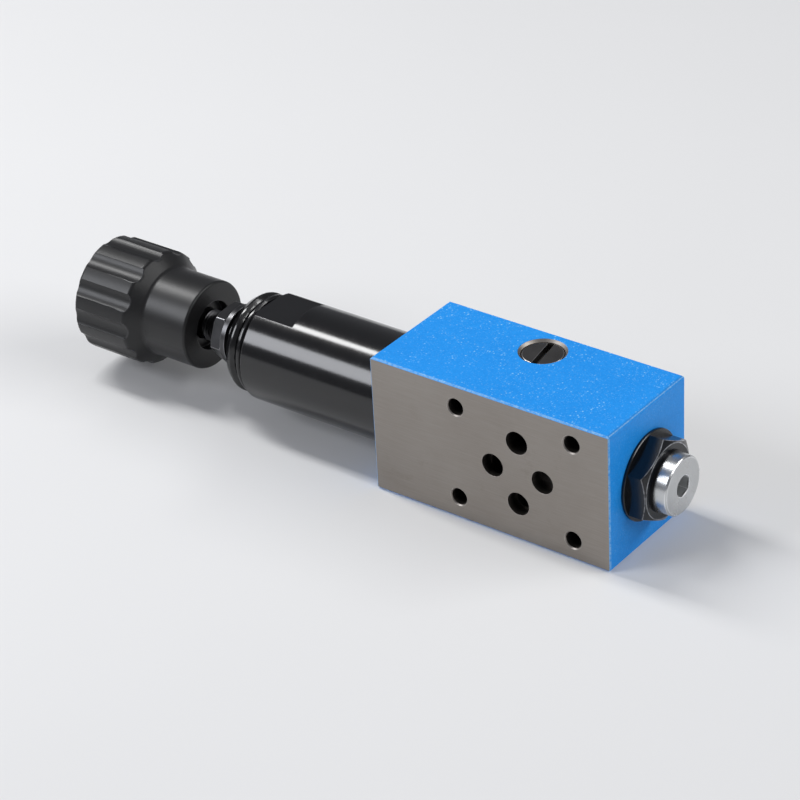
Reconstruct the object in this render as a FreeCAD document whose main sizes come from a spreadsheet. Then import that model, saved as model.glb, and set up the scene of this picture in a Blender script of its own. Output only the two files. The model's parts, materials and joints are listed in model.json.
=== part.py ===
import FreeCAD, Part
import Sketcher
import os
import re

# A size 6 sandwich-plate pressure reducing valve, in millimetres.
# X runs along the valve's axis, from the adjusting knob at -X to the gauge port at +X.
# The rear face, which carries the port seals, is the plane Y = 0 and the front face is
# at -Y. Z is up. The origin is the centre of the standard port pattern on the rear face.
# Turned pieces are drawn as half sections on the valve's axis and turned about it.

# Driving dimensions: alias, value in millimetres (or degrees, or a count), meaning
DIMENSIONS = [
    # The block and its edges
    ("block_left", 51.0, "port pattern centre to the adjuster end of the block"),
    ("block_right", 33.0, "port pattern centre to the gauge end of the block"),
    ("block_depth", 40.0, "rear face to front face"),
    ("block_height", 46.0, "bottom to top"),
    ("axis_depth", 20.0, "rear face to the valve's axis"),
    ("overshoot", 1.0, "how far a cutting outline reaches past the surface it cuts"),
    ("long_chamfer", 0.65, "chamfer along the four long edges"),
    ("end_chamfer", 0.85, "chamfer at the top and bottom of both ends"),
    ("upright_chamfer", 0.3, "chamfer on the upright edges"),
    # The standard pattern of screws and ports
    ("screw_reach", 20.25, "pattern centre to each screw column"),
    ("screw_rise_left", 15.5, "axis to the left screws"),
    ("screw_rise_right", 16.25, "axis to the right screws"),
    ("screw_hole", 5.4, "diameter of the four through holes"),
    ("screw_mouth", 0.35, "chamfer at the mouths of the through holes"),
    ("port_bore", 7.5, "diameter of the four ports"),
    ("port_pt_reach", 1.25, "pattern centre to the pressure and tank ports"),
    ("port_pt_rise", 10.4, "axis to the pressure and tank ports"),
    ("port_a_reach", -7.55, "pattern centre to work port A"),
    ("port_b_reach", 9.95, "pattern centre to work port B"),
    ("port_mouth", 4.0, "straight depth of ports A, B and T"),
    ("pressure_mouth", 8.0, "straight depth of the front pressure port"),
    ("inlet_mouth", 6.0, "straight depth of the rear pressure port"),
    ("seal_seat", 12.5, "diameter of the port seal seats"),
    ("seal_seat_depth", 1.3, "depth of the port seal seats"),
    ("port_seal_bore", 8.4, "bore of the port seals"),
    # Passages that lead round the spool
    ("passage", 6.0, "diameter of the sloping passages of A, B and T"),
    ("passage_start", 2.5, "depth at which a sloping passage crosses its port's centre"),
    ("overrun", 0.1, "share of its length that a sloping passage runs on past mid-depth"),
    ("work_detour", 16.5, "how far A and B swing from the axis at mid-depth"),
    ("tank_detour", 12.5, "how far below the axis T runs at mid-depth"),
    ("feed", 5.0, "diameter of the passages between the pressure ports and the spool"),
    ("sense", 3.0, "diameter of the passage to the gauge chamber"),
    ("drain", 2.4, "diameter of the spring chamber's drain"),
    ("drain_drop", 10.2, "axis to the drain"),
    # The bore of the block
    ("spool_bore", 12.0, "diameter of the spool's bore"),
    ("inlet_groove", 14.0, "diameter of the inlet groove"),
    ("inlet_groove_width", 4.5, "width of the inlet groove"),
    ("outlet_groove", 16.0, "diameter of the outlet groove"),
    ("outlet_groove_width", 5.0, "width of the outlet groove"),
    ("outlet_reach", -9.5, "pattern centre to the middle of the outlet groove"),
    ("spring_chamber", 27.0, "diameter of the chamber at the adjuster end"),
    ("spring_chamber_depth", 20.0, "depth of that chamber"),
    ("gauge_chamber", 24.0, "diameter of the chamber at the gauge end"),
    ("gauge_chamber_depth", 16.0, "depth of that chamber"),
    ("seal_mouth", 2.4, "how much wider each chamber is at its mouth, for the seal"),
    ("seal_mouth_depth", 1.6, "depth of that mouth"),
    # Clearances
    ("run_gap", 0.05, "radial clearance of a running fit"),
    ("thread_gap", 0.1, "radial clearance drawn in place of a thread's flanks"),
    ("seat_gap", 0.05, "gap at a face or wall that a seal presses on"),
    ("stroke_gap", 0.3, "gap left past the end of a stroke"),
    # The spool and its spring plate
    ("spool_waist", 8.0, "diameter of the spool between its lands"),
    ("spool_open", 3.0, "opening between the right land and the inlet groove's far side"),
    ("spool_lap", 0.5, "left land's edge to the outlet groove"),
    ("nose_slot", 1.6, "width and depth of the slot across the spool's nose"),
    ("balance_groove", 0.4, "width and depth of the spool's balance grooves"),
    ("balance_pitch", 1.6, "pitch of the balance grooves"),
    ("balance_right", 9.0, "middle of the inlet groove to the right balance grooves"),
    ("balance_left", 11.0, "middle of the outlet groove to the left balance grooves"),
    ("plate_d", 19.2, "diameter of the spring plate on the spool"),
    ("plate_thickness", 3.0, "thickness of that plate"),
    ("guide_d", 12.2, "diameter of the hubs that centre the spring"),
    ("guide_length", 2.8, "length of those hubs"),
    ("guide_taper", 0.6, "how much a hub's radius shrinks towards its end"),
    ("tail_d", 6.0, "diameter of the spool's tail"),
    ("tail_length", 2.2, "length of the spool's tail"),
    # The main spring
    ("spring_wire", 3.2, "diameter of the spring wire"),
    ("spring_mean", 16.0, "mean diameter of the spring"),
    ("spring_length", 49.7, "length of the spring as set"),
    ("spring_turns", 8.5, "turns of the spring"),
    # The sleeve and its cap
    ("sleeve_d", 34.5, "outside diameter of the sleeve"),
    ("sleeve_length", 54.9, "length of the sleeve outside the block"),
    ("sleeve_bore", 22.0, "diameter of the sleeve's bore"),
    ("sleeve_spigot", 12.0, "length of the sleeve inside the block"),
    ("sleeve_chamfer", 1.2, "chamfer at the sleeve's outer end"),
    ("sleeve_flats", 30.4, "width across the sleeve's two wrench flats"),
    ("sleeve_flat_length", 15.7, "length of the wrench flats"),
    ("cap_thread", 27.2, "diameter of the cap's thread"),
    ("thread_runout", 1.0, "how much deeper a tapped bore is than what goes into it"),
    ("cap_gap", 0.3, "gap between the sleeve's end and the cap's rim"),
    ("cap_rim", 32.2, "diameter of the cap's rim"),
    ("cap_rim_width", 6.1, "width of the cap's rim"),
    ("cap_lip", 1.25, "width of the rim's lip next to the sleeve"),
    ("cap_lip_chamfer", 0.6, "chamfer of that lip"),
    ("cap_groove", 1.25, "width of the groove between the lip and the rest of the rim"),
    ("cap_groove_d", 29.4, "diameter at the floor of that groove"),
    ("cap_near_chamfer", 1.1, "chamfer of the rim beyond the groove"),
    ("cap_far_length", 1.9, "length of the slope on the rim's outer side"),
    ("cap_far_drop", 1.2, "how much the radius shrinks along that slope"),
    ("cap_boss", 18.0, "diameter of the boss that the washer bears on"),
    ("cap_boss_length", 5.0, "length of that boss"),
    # The adjusting piston, spindle, washer and lock nut
    ("piston_length", 8.8, "length of the adjusting piston without its hub"),
    ("piston_groove", 2.4, "width of the piston's seal groove"),
    ("piston_groove_depth", 1.4, "depth of the piston's seal groove"),
    ("piston_socket", 4.8, "depth of the socket that the spindle's tip turns in"),
    ("tip_d", 7.0, "diameter of the spindle's tip"),
    ("spindle_d", 10.0, "outside diameter of the spindle's thread"),
    ("spindle_in_knob", 17.0, "length of the spindle inside the knob"),
    ("edge_break", 0.8, "chamfer at the inner ends of the spindle's thread and the end plug"),
    ("thread_chamfer", 1.0, "chamfer at the ends of the spindle and of the screw plug"),
    ("knob_out", 3.0, "travel of the knob outwards from where it is set"),
    ("washer_d", 20.0, "diameter of the washer"),
    ("washer_thickness", 1.8, "thickness of the washer"),
    ("nut_flats", 17.0, "width across the lock nut's flats"),
    ("nut_thickness", 4.6, "thickness of the lock nut"),
    ("nut_chamfer", 1.0, "radial chamfer of the lock nut's corners"),
    ("nut_chamfer_angle", 30.0, "slope of that chamfer"),
    ("nut_turn", -23.5, "angle of the lock nut"),
    # The knob
    ("knob_gap", 6.25, "lock nut to knob"),
    ("knob_length", 42.5, "length of the knob"),
    ("skirt_d", 29.0, "diameter of the knob's skirt"),
    ("skirt_length", 17.4, "length of the skirt up to the shoulder"),
    ("shoulder_length", 4.2, "length of the sloping shoulder"),
    ("grip_d", 37.6, "diameter of the knob's grip"),
    ("grip_round", 1.2, "rounding of the grip's outer rim"),
    ("skirt_round", 0.9, "rounding of the skirt's rim"),
    ("shoulder_round", 2.0, "rounding at the foot and the top of the shoulder"),
    ("flute_count", 12, "number of finger grooves round the grip"),
    ("flute_d", 10.6, "diameter of the cutter that makes a finger groove"),
    ("flute_depth", 1.05, "depth of a finger groove"),
    ("recess_d", 16.0, "diameter of the recess in the skirt's face"),
    ("recess_depth", 3.0, "depth of that recess"),
    ("grub_d", 5.0, "diameter of the knob's grub screw"),
    ("grub_length", 8.0, "length of the grub screw"),
    ("grub_reach", 9.0, "skirt's face to the grub screw"),
    ("grub_hex", 2.5, "width of the grub screw's socket"),
    ("grub_socket", 2.5, "depth of the grub screw's socket"),
    # The end plug
    ("plug_shank", 12.0, "length of the end plug inside the block"),
    ("plug_collar", 28.2, "diameter of the end plug's collar"),
    ("plug_collar_width", 1.0, "width of that collar"),
    ("plug_collar_chamfer", 0.2, "chamfer of that collar"),
    ("plug_flats", 24.0, "width across the end plug's flats"),
    ("plug_head", 5.9, "height of the hexagon above the collar"),
    ("plug_chamfer_drop", 1.3, "how far down the hexagon's corners the chamfer reaches"),
    ("plug_face", 23.2, "diameter of the end plug's outer face"),
    ("plug_turn", 2.0, "angle of the end plug"),
    ("neck_relief", 0.4, "how far the end plug's neck reaches past the seal's mouth"),
    ("ring_wire", 1.5, "section of the seals at both chamber mouths"),
    ("seal_corner", 0.29, "chamfer of a seal's section, as a share of the section"),
    ("gallery", 4.0, "diameter of the gauge gallery"),
    # The gauge port's screw plug
    ("gauge_thread", 13.2, "diameter of the gauge port's thread"),
    ("gauge_port_depth", 13.5, "depth of the gauge port"),
    ("gauge_port_chamfer", 0.5, "chamfer at the mouth of the gauge port"),
    ("gauge_plug_thread", 11.0, "length of the screw plug's thread"),
    ("gauge_collar", 18.5, "diameter of the screw plug's collar"),
    ("gauge_collar_width", 4.3, "width of the screw plug's collar"),
    ("gauge_chamfer", 0.5, "chamfer on the screw plug's collar"),
    ("gauge_hex", 6.0, "width of the screw plug's hexagon socket"),
    ("gauge_socket", 6.0, "depth of that socket"),
    ("gauge_socket_chamfer", 0.4, "chamfer at the mouth of that socket"),
    ("gauge_turn", -10.0, "angle of the screw plug"),
    ("gauge_seal_d", 19.0, "diameter of the sealing ring under the collar"),
    ("gauge_seal_width", 0.8, "thickness of that ring"),
    ("gauge_seal_bore", 14.4, "bore of that ring"),
    # The slotted plug in the top face
    ("slot_plug_reach", -9.55, "pattern centre to the slotted plug"),
    ("slot_plug_depth", 10.2, "rear face to the slotted plug's axis"),
    ("slot_plug_d", 13.2, "diameter of the slotted plug"),
    ("slot_plug_mouth", 0.9, "chamfer round the slotted plug's hole"),
    ("slot_plug_hole", 11.0, "depth of the hole"),
    ("slot_plug_sunk", 0.8, "how far the slotted plug lies below the top face"),
    ("slot_plug_chamfer", 0.4, "chamfer on both rims of the slotted plug"),
    ("slot_width", 2.0, "width of the slot"),
    ("slot_depth", 2.4, "depth of the slot"),
    ("slot_turn", 10.0, "angle of the slot"),
    ("slot_seal_width", 1.2, "thickness of the sealing ring below the slotted plug"),
    ("slot_seal_bore", 7.0, "bore of that ring"),
]

# Two lengths nearer than this are the same
CLOSE = 1e-4

doc = FreeCAD.newDocument("sandwich_valve")
sheet = doc.addObject("Spreadsheet::Sheet", "sizes")
for row, (alias, value, meaning) in enumerate(DIMENSIONS, start=1):
    sheet.set("A%d" % row, alias)
    sheet.set("B%d" % row, str(value))
    sheet.set("C%d" % row, meaning)
    sheet.setAlias("B%d" % row, alias)
doc.recompute()
ALIASES = {alias for alias, value, meaning in DIMENSIONS}

# Places along the axis, worked out from the dimensions above
PLACES = {
    "sleeve_end": "(-block_left - sleeve_length)",
    "cap_face": "(-block_left - sleeve_length - cap_gap)",
    "cap_back": "(-block_left - sleeve_length - cap_gap - cap_rim_width)",
    "boss_end": "(-block_left - sleeve_length - cap_gap - cap_rim_width - cap_boss_length)",
    "nut_near": "(-block_left - sleeve_length - cap_gap - cap_rim_width - cap_boss_length"
                " - washer_thickness)",
}
PLACES["nut_far"] = "(" + PLACES["nut_near"] + " - nut_thickness)"
PLACES["knob_face"] = "(" + PLACES["nut_far"] + " - knob_gap)"
PLACES["plug_end"] = "(block_right - plug_shank)"
PLACES["spool_end"] = "(-block_left + spring_chamber_depth - stroke_gap)"
PLACES["plate_face"] = "(" + PLACES["spool_end"] + " - plate_thickness)"
PLACES["piston_face"] = "(" + PLACES["plate_face"] + " - spring_length)"
PLACES["piston_back"] = "(" + PLACES["piston_face"] + " - piston_length)"
PLACES["cap_inner"] = "(" + PLACES["piston_back"] + " - knob_out - stroke_gap)"
PLACES["plug_face_x"] = "(block_right + plug_collar_width + plug_head)"
PLACES["gauge_collar_x"] = "(" + PLACES["plug_face_x"] + " + gauge_seal_width)"


def bind(text):
    """Write an expression on dimensions and places as one on the sheet's cells."""
    text = re.sub(r"[a-z]\w*", lambda word: PLACES.get(word[0], word[0]), str(text))
    return re.sub(r"[a-z]\w*", lambda w: "sizes." + w[0] if w[0] in ALIASES else w[0], text)


def number(text):
    """The present value of an expression."""
    return float(sheet.evalExpression(bind(text)))


def new_body(label, turn=None, place=None):
    """A body whose own X axis is the valve's axis, or whose origin is at a given place."""
    body = doc.addObject("PartDesign::Body", label)
    body.Label = label
    across, depth, up = place or ("0", "-axis_depth", "0")
    body.setExpression("Placement.Base.x", bind(across))
    body.setExpression("Placement.Base.y", bind(depth))
    body.setExpression("Placement.Base.z", bind(up))
    if turn:
        body.Placement.Rotation = FreeCAD.Rotation(FreeCAD.Vector(1, 0, 0), number(turn))
        body.setExpression("Placement.Rotation.Angle", bind(turn))
    return body


def origin_item(body, role):
    """One of the body's own planes or axes."""
    return next(item for item in body.Origin.OriginFeatures if item.Role == role)


def new_sketch(body, name, plane="XZ_Plane", lift=None):
    """A sketch on one of the body's own planes, lifted along the plane's normal."""
    sketch = body.newObject("Sketcher::SketchObject", name)
    sketch.AttachmentSupport = [(origin_item(body, plane), "")]
    sketch.MapMode = "FlatFace"
    if lift:
        sketch.setExpression("AttachmentOffset.Base.z", bind(lift))
    return sketch


def pin_point(sketch, geometry, corner, across, up, name):
    """Hold one point of the sketch at two expressions measured from its origin."""
    for kind, text, axis in (("DistanceX", across, -2), ("DistanceY", up, -1)):
        if str(text) == "0":
            sketch.addConstraint(Sketcher.Constraint("PointOnObject", geometry, corner, axis))
            continue
        value = number(text)
        index = sketch.addConstraint(
            Sketcher.Constraint(kind, -1, 1, geometry, corner, value))
        sketch.renameConstraint(index, name + kind[-1])
        sketch.setExpression("Constraints." + name + kind[-1], bind(text))


def outline(body, name, points, plane="XZ_Plane", lift=None):
    """A closed outline of straight lines, each corner given by two expressions."""
    sketch = new_sketch(body, name, plane, lift)
    corners = [FreeCAD.Vector(number(a), number(b), 0) for a, b in points]
    for start, end in zip(corners, corners[1:] + corners[:1]):
        sketch.addGeometry(Part.LineSegment(start, end), False)
    for index in range(len(corners)):
        following = (index + 1) % len(corners)
        sketch.addConstraint(Sketcher.Constraint("Coincident", index, 2, following, 1))
    for index, (across, up) in enumerate(points):
        pin_point(sketch, index, 1, across, up, "p%d" % index)
    doc.recompute()
    return sketch


def circles(body, name, centres, diameter, plane="XZ_Plane", lift=None):
    """A sketch of equal circles, each centre given by two expressions."""
    sketch = new_sketch(body, name, plane, lift)
    up = FreeCAD.Vector(0, 0, 1)
    for index, (across, rise) in enumerate(centres):
        centre = FreeCAD.Vector(number(across), number(rise), 0)
        sketch.addGeometry(Part.Circle(centre, up, number(diameter) / 2), False)
        pin_point(sketch, index, 3, across, rise, "c%d" % index)
        radius = sketch.addConstraint(
            Sketcher.Constraint("Radius", index, number(diameter) / 2))
        sketch.renameConstraint(radius, "r%d" % index)
        sketch.setExpression("Constraints.r%d" % index, bind("(" + diameter + ") / 2"))
    doc.recompute()
    return sketch


def hexagon(flats):
    """The corners of a hexagon with one corner up."""
    side, corner = "((%s) / 2)" % flats, "((%s) / sqrt(3))" % flats
    return [("0", corner), ("-" + side, corner + " / 2"), ("-" + side, "-" + corner + " / 2"),
            ("0", "-" + corner), (side, "-" + corner + " / 2"), (side, corner + " / 2")]


def feature(body, kind, name, sketch, **settings):
    """Add a feature made from a sketch; text settings are expressions."""
    made = body.newObject("PartDesign::" + kind, name)
    made.Profile = sketch
    for setting, value in settings.items():
        if isinstance(value, str) and setting in ("Length", "Angle", "Height", "Turns"):
            made.setExpression(setting, bind(value))
        else:
            setattr(made, setting, value)
    doc.recompute()
    return made


def turned(body, name, points):
    """Material turned about the body's X axis."""
    sketch = outline(body, name + "_section", points)
    return feature(body, "Revolution", name, sketch, ReferenceAxis=(sketch, ["H_Axis"]),
                   Angle="360")


def turned_out(body, name, points, lift=None):
    """Material cut away about the body's X axis."""
    sketch = outline(body, name + "_section", points, lift=lift)
    before = body.Shape.Volume
    cut = feature(body, "Groove", name, sketch, ReferenceAxis=(sketch, ["H_Axis"]),
                  Angle="360")
    assert body.Shape.Volume < before, name + " cuts nothing"
    return cut


def pocket(body, name, sketch, depth=None, away=False):
    """Cut a sketch to a depth, or right through, against or along its normal."""
    before = body.Shape.Volume
    settings = {"Reversed": away}
    if depth:
        settings["Length"] = depth
    else:
        settings["Type"] = "ThroughAll"
    cut = feature(body, "Pocket", name, sketch, **settings)
    assert body.Shape.Volume < before, name + " cuts nothing"
    return cut


def edges_where(base, test):
    """The names of the edges of a feature that pass a test."""
    return ["Edge%d" % place for place, edge in enumerate(base.Shape.Edges, start=1)
            if test(edge)]


def dress(body, kind, name, base, edges, size):
    """Chamfer or fillet edges of a feature by a named size."""
    made = body.newObject("PartDesign::" + kind, name)
    made.Base = (base, edges)
    made.setExpression("Size" if kind == "Chamfer" else "Radius", bind(size))
    doc.recompute()
    return made


def round_edge(edge, radius):
    """True for a circular edge of this radius."""
    curve = edge.Curve
    return isinstance(curve, Part.Circle) and abs(curve.Radius - radius) < CLOSE


def drilling(name, start, end, diameter):
    """A straight passage between two places, each given by three expressions."""
    steps = ["(%s) - (%s)" % (b, a) for a, b in zip(start, end)]
    length = "sqrt(" + " + ".join("(%s)^2" % step for step in steps) + ")"
    made = doc.addObject("Part::Cylinder", name)
    made.setExpression("Radius", bind("(" + diameter + ") / 2"))
    made.setExpression("Height", bind(length))
    made.setExpression("Placement", bind(
        "create(<<placement>>; create(<<vector>>; %s; %s; %s); " % tuple(start)
        + "create(<<rotation>>; create(<<vector>>; 0; 0; 1); "
        + "create(<<vector>>; %s; %s; %s)))" % tuple(steps)))
    return made


# The valve body: a bar of cast iron, machined all round
SCREWS = [("-screw_reach", "-screw_rise_left"), ("screw_reach", "-screw_rise_right"),
          ("screw_reach", "screw_rise_right"), ("-screw_reach", "screw_rise_left")]
PORTS = {"p": ("port_pt_reach", "port_pt_rise"), "t": ("port_pt_reach", "-port_pt_rise"),
         "a": ("port_a_reach", "0"), "b": ("port_b_reach", "0")}


def block_with_edges():
    body = new_body("block_blank", place=("0", "0", "0"))
    half = "block_height / 2"
    sketch = outline(body, "block_face", [
        ("-block_left", "-" + half), ("block_right", "-" + half),
        ("block_right", half), ("-block_left", half)])
    bar = feature(body, "Pad", "block_bar", sketch, Length="block_depth")

    def runs_along(axis):
        return lambda edge: abs(abs(edge.tangentAt(edge.FirstParameter).dot(axis)) - 1) < CLOSE

    bar = dress(body, "Chamfer", "long_edges", bar,
                edges_where(bar, runs_along(FreeCAD.Vector(1, 0, 0))), "long_chamfer")
    bar = dress(body, "Chamfer", "end_edges", bar,
                edges_where(bar, runs_along(FreeCAD.Vector(0, 1, 0))), "end_chamfer")
    corner_height = number("block_height / 2 - end_chamfer - long_chamfer")

    def upright(edge):
        return (runs_along(FreeCAD.Vector(0, 0, 1))(edge)
                and edge.Length > corner_height)

    dress(body, "Chamfer", "upright_edges", bar, edges_where(bar, upright),
          "upright_chamfer")
    return body


def bore_block(body):
    """The spool's bore with its grooves, and the chamber at each end."""
    bore, spring, gauge = "spool_bore / 2", "spring_chamber / 2", "gauge_chamber / 2"
    spring_floor = "-block_left + spring_chamber_depth"
    gauge_floor = "block_right - gauge_chamber_depth"
    section = [
        ("-block_left - overshoot", "0"),
        ("-block_left - overshoot", spring + " + seal_mouth / 2"),
        ("-block_left + seal_mouth_depth", spring + " + seal_mouth / 2"),
        ("-block_left + seal_mouth_depth", spring),
        (spring_floor, spring), (spring_floor, bore)]
    for middle, width, diameter in (
            ("outlet_reach", "outlet_groove_width", "outlet_groove"),
            ("port_pt_reach", "inlet_groove_width", "inlet_groove")):
        near, far = middle + " - " + width + " / 2", middle + " + " + width + " / 2"
        rim = diameter + " / 2"
        section += [(near, bore), (near, rim), (far, rim), (far, bore)]
    section += [
        (gauge_floor, bore), (gauge_floor, gauge),
        ("block_right - seal_mouth_depth", gauge),
        ("block_right - seal_mouth_depth", gauge + " + seal_mouth / 2"),
        ("block_right + overshoot", gauge + " + seal_mouth / 2"),
        ("block_right + overshoot", "0")]
    turned_out(body, "main_bore", section, lift="axis_depth")


def machine_faces(body):
    """Screw holes, port mouths, seal seats and the slotted plug's hole."""
    holes = pocket(body, "screw_holes",
                   circles(body, "screw_pattern", SCREWS, "screw_hole"), away=True)
    mouths = edges_where(holes, lambda edge: round_edge(edge, number("screw_hole / 2")))
    dress(body, "Chamfer", "screw_mouths", holes, mouths, "screw_mouth")
    straight = [PORTS[port] for port in "tab"]
    for side, lift, away in (("front", "block_depth", False), ("rear", None, True)):
        sketch = circles(body, side + "_ports", straight, "port_bore", lift=lift)
        pocket(body, side + "_port_mouths", sketch, "port_mouth", away)
        depth = "pressure_mouth" if side == "front" else "inlet_mouth"
        sketch = circles(body, side + "_pressure", [PORTS["p"]], "port_bore", lift=lift)
        pocket(body, side + "_pressure_mouth", sketch, depth, away)
    seats = circles(body, "seal_circles", list(PORTS.values()), "seal_seat")
    pocket(body, "seal_seats", seats, "seal_seat_depth", away=True)
    place = [("slot_plug_reach", "-slot_plug_depth")]
    hole = pocket(body, "slot_plug_bore",
                  circles(body, "slot_plug_circle", place, "slot_plug_d + 2 * thread_gap",
                          plane="XY_Plane", lift="block_height / 2"), "slot_plug_hole")
    rim = number("slot_plug_d / 2 + thread_gap")
    top = number("block_height / 2")
    mouth = edges_where(hole, lambda edge: round_edge(edge, rim)
                        and abs(edge.Curve.Center.z - top) < CLOSE)
    dress(body, "Chamfer", "slot_plug_countersink", hole, mouth, "slot_plug_mouth")


def passages():
    """Drillings that lead the ports past, and into, the spool's bore."""
    made = []
    for port, low in (("a", "-work_detour"), ("b", "work_detour"), ("t", "-tank_detour")):
        across, up = PORTS[port]
        for side, depth in (("front", "(-block_depth + passage_start)"),
                            ("rear", "(-passage_start)")):
            start = (across, "-axis_depth - overrun * (%s + axis_depth)" % depth,
                     "%s + overrun * (%s - (%s))" % (low, low, up))
            made.append(drilling("%s_passage_%s" % (port, side), start,
                                 (across, depth, up), "passage"))
    reach, rise = PORTS["p"]
    made.append(drilling("inlet_feed", (reach, "-inlet_mouth + feed / 2", rise),
                         (reach, "-axis_depth", "spool_bore / 2"), "feed"))
    made.append(drilling("outlet_feed",
                         (reach, "-block_depth + pressure_mouth - feed / 2", rise),
                         ("outlet_reach", "-axis_depth", "spool_bore / 2"), "feed"))
    plug_line = ("slot_plug_reach", "-slot_plug_depth")
    made.append(drilling("cross_drilling", plug_line + ("-sense / 2",),
                         plug_line + ("block_height / 2 - slot_plug_hole + overshoot",), "feed"))
    made.append(drilling("sense_drilling", plug_line + ("0",),
                         ("block_right - gauge_chamber_depth + overshoot",
                          "-slot_plug_depth", "0"), "sense"))
    made.append(drilling("drain_drilling",
                         ("-block_left + spring_chamber_depth - overshoot", "-axis_depth",
                          "-drain_drop"),
                         ("port_pt_reach", "-axis_depth", "-drain_drop"), "drain"))
    return made


def make_valve_body():
    body = block_with_edges()
    bore_block(body)
    machine_faces(body)
    for passage in passages():
        drilled = doc.addObject("Part::Cut", "body_after_" + passage.Name)
        drilled.Base = body
        drilled.Tool = passage
        body = drilled
    body.Label = "valve_body"
    doc.recompute()
    return body


# The spool and the plate that its spring presses on
def make_control_spool():
    body = new_body("control_spool")
    land, waist = "(spool_bore / 2 - run_gap)", "spool_waist / 2"
    right_edge = "(port_pt_reach - inlet_groove_width / 2 + spool_open)"
    left_edge = "(outlet_reach - outlet_groove_width / 2 - spool_lap)"
    nose = "(block_right - gauge_chamber_depth)"
    turned(body, "spool_bar", [
        ("plug_end", "0"), ("plug_end", waist), (nose, waist), (nose, land),
        (right_edge, land), (right_edge, waist), (left_edge, waist), (left_edge, land),
        ("spool_end", land), ("spool_end", "tail_d / 2"),
        ("spool_end - plate_thickness - tail_length", "tail_d / 2"),
        ("spool_end - plate_thickness - tail_length", "0")])
    for side, middle in (("right", "(port_pt_reach + balance_right)"),
                         ("left", "(outlet_reach - balance_left)")):
        for step in (-1, 0, 1):
            at = "(%s + %d * balance_pitch)" % (middle, step)
            turned_out(body, "balance_%s_%d" % (side, step + 1), [
                (at, land + " - balance_groove"), (at, land + " + overshoot"),
                (at + " + balance_groove", land + " + overshoot"),
                (at + " + balance_groove", land + " - balance_groove")])
    slot = outline(body, "nose_slot_outline", [
        ("plug_end - nose_slot", "-nose_slot / 2"),
        ("plug_end + overshoot", "-nose_slot / 2"),
        ("plug_end + overshoot", "nose_slot / 2"),
        ("plug_end - nose_slot", "nose_slot / 2")], lift="spool_waist")
    pocket(body, "nose_slot_cut", slot)
    return body


def make_spring_plate():
    body = new_body("spring_plate")
    bore = "(tail_d / 2 + run_gap)"
    turned(body, "plate_disc", [
        ("spool_end", bore), ("spool_end", "plate_d / 2"), ("plate_face", "plate_d / 2"),
        ("plate_face", "guide_d / 2"), ("plate_face - guide_length", "guide_d / 2 - guide_taper"),
        ("plate_face - guide_length", bore)])
    return body


WIRE_SIDES = 8


def make_main_spring():
    """An eight-sided wire wound between the two plates, with its ends ground flat."""
    body = new_body("main_spring")
    corners = [360 * (side + 0.5) / WIRE_SIDES for side in range(WIRE_SIDES)]
    wire = outline(body, "wire_section", [
        ("piston_face + spring_wire / 2 * cos(%s)" % angle,
         "(spring_mean + spring_wire * sin(%s)) / 2" % angle) for angle in corners])
    coil = feature(body, "AdditiveHelix", "coil", wire, ReferenceAxis=(wire, ["H_Axis"]),
                   Mode="height-turns-angle", Height="spring_length",
                   Turns="spring_turns")
    cutter = "spring_mean + 3 * spring_wire"
    left = circles(body, "left_grinding", [("0", "0")], cutter, "YZ_Plane", "piston_face")
    pocket(body, "left_end", left, "2 * spring_wire")
    right = circles(body, "right_grinding", [("0", "0")], cutter, "YZ_Plane", "plate_face")
    pocket(body, "right_end", right, "2 * spring_wire", away=True)
    return body


# The sleeve that holds the spring, and the cap that closes it
def make_spring_sleeve():
    body = new_body("spring_sleeve")
    outside, spigot = "sleeve_d / 2", "(spring_chamber / 2 - thread_gap)"
    thread = "(cap_thread / 2 + thread_gap)"
    neck = "(spring_chamber / 2 + seal_mouth / 2 - ring_wire - 2 * seat_gap)"
    inner_end = "(-block_left + sleeve_spigot)"
    turned(body, "sleeve_tube", [
        (inner_end, "sleeve_bore / 2"), (inner_end, spigot),
        ("-block_left + seal_mouth_depth", spigot), ("-block_left + seal_mouth_depth", neck),
        ("-block_left", neck), ("-block_left", outside),
        ("sleeve_end + sleeve_chamfer", outside),
        ("sleeve_end", outside + " - sleeve_chamfer"), ("sleeve_end", thread),
        ("cap_inner + thread_runout", thread), ("cap_inner + thread_runout", "sleeve_bore / 2")])
    flat, beyond = "sleeve_flats / 2", "sleeve_d"
    for side, sign in (("top", ""), ("bottom", "-")):
        near, far = sign + "(" + flat + ")", sign + beyond
        sketch = outline(body, side + "_flat", [
            ("sleeve_end - overshoot", near), ("sleeve_end + sleeve_flat_length", near),
            ("sleeve_end + sleeve_flat_length", far), ("sleeve_end - overshoot", far)],
            lift="-sleeve_d / 2")
        pocket(body, side + "_wrench_flat", sketch, "sleeve_d", away=True)
    return body


def make_sleeve_cap():
    body = new_body("sleeve_cap")
    bore, rim, shank = "(spindle_d / 2 + run_gap)", "cap_rim / 2", "cap_thread / 2"
    lip_end = "(cap_face - cap_lip)"
    ring_start = "(cap_face - cap_lip - cap_groove)"
    turned(body, "cap_disc", [
        ("cap_inner", bore), ("cap_inner", shank), ("cap_face", shank),
        ("cap_face", rim + " - cap_lip_chamfer"), ("cap_face - cap_lip_chamfer", rim),
        (lip_end, rim), (lip_end, "cap_groove_d / 2"), (ring_start, "cap_groove_d / 2"),
        (ring_start, rim + " - cap_near_chamfer"), (ring_start + " - cap_near_chamfer", rim),
        ("cap_back + cap_far_length", rim), ("cap_back", rim + " - cap_far_drop"),
        ("cap_back", "cap_boss / 2"), ("boss_end", "cap_boss / 2"), ("boss_end", bore)])
    return body


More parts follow.
